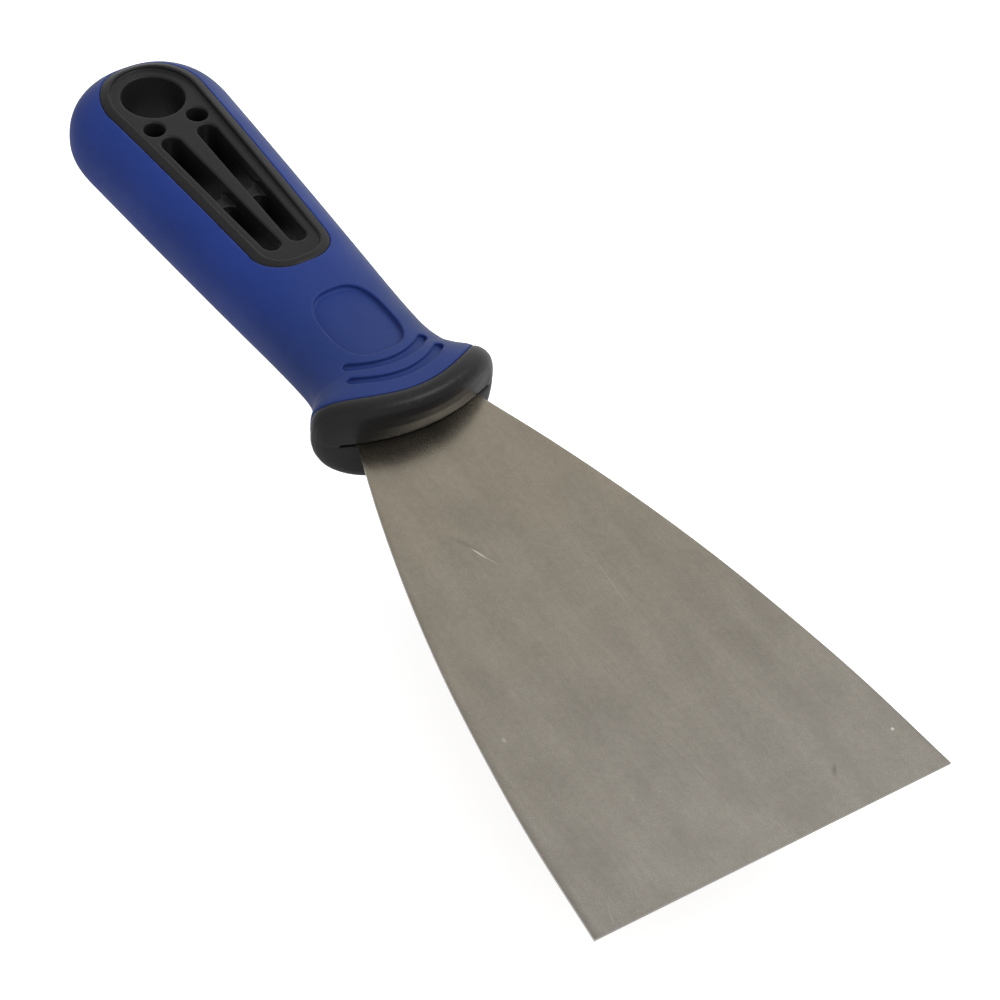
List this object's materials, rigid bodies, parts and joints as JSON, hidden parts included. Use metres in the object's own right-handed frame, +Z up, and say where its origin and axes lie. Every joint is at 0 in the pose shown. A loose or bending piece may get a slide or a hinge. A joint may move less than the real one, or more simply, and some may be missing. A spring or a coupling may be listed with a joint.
{
  "type": "flexible putty knife",
  "caption": "Flexible putty knife: a flared thin spring-steel blade set in a two-material moulded handle with a thumb pad, slotted hard panel and hang hole.",
  "frame": {"origin": "middle of the front face of the blade's working edge", "axes": "+X along the handle towards the blade's working edge, +Y to the side across the blade, +Z up out of the side with the thumb pad"},
  "size_m": [0.2167, 0.075, 0.0192],
  "materials": {
    "spring_steel": "ground and rolled, satin, slightly warm grey",
    "dark_grey_plastic": "fine moulded texture, low sheen",
    "blue_rubber": "soft overmoulded thermoplastic elastomer, satin",
    "pin_steel": "plain turned steel, hidden inside the handle"
  },
  "bodies": {
    "handle": {"handle_core": "dark_grey_plastic", "grip_sleeve": "blue_rubber", "tang_pin_front": "pin_steel", "tang_pin_rear": "pin_steel"},
    "blade": {"blade": "spring_steel"}
  },
  "joints": [
    {"name": "blade_flex", "type": "hinge", "parent": "handle", "child": "blade", "pos_m": [-0.09316, 0, 0.00676], "axis": [0, 1, 0], "range_deg": [-15, 15], "stiffness_Nm_per_rad": 3.9, "deforming": ["blade"]}
  ]
}
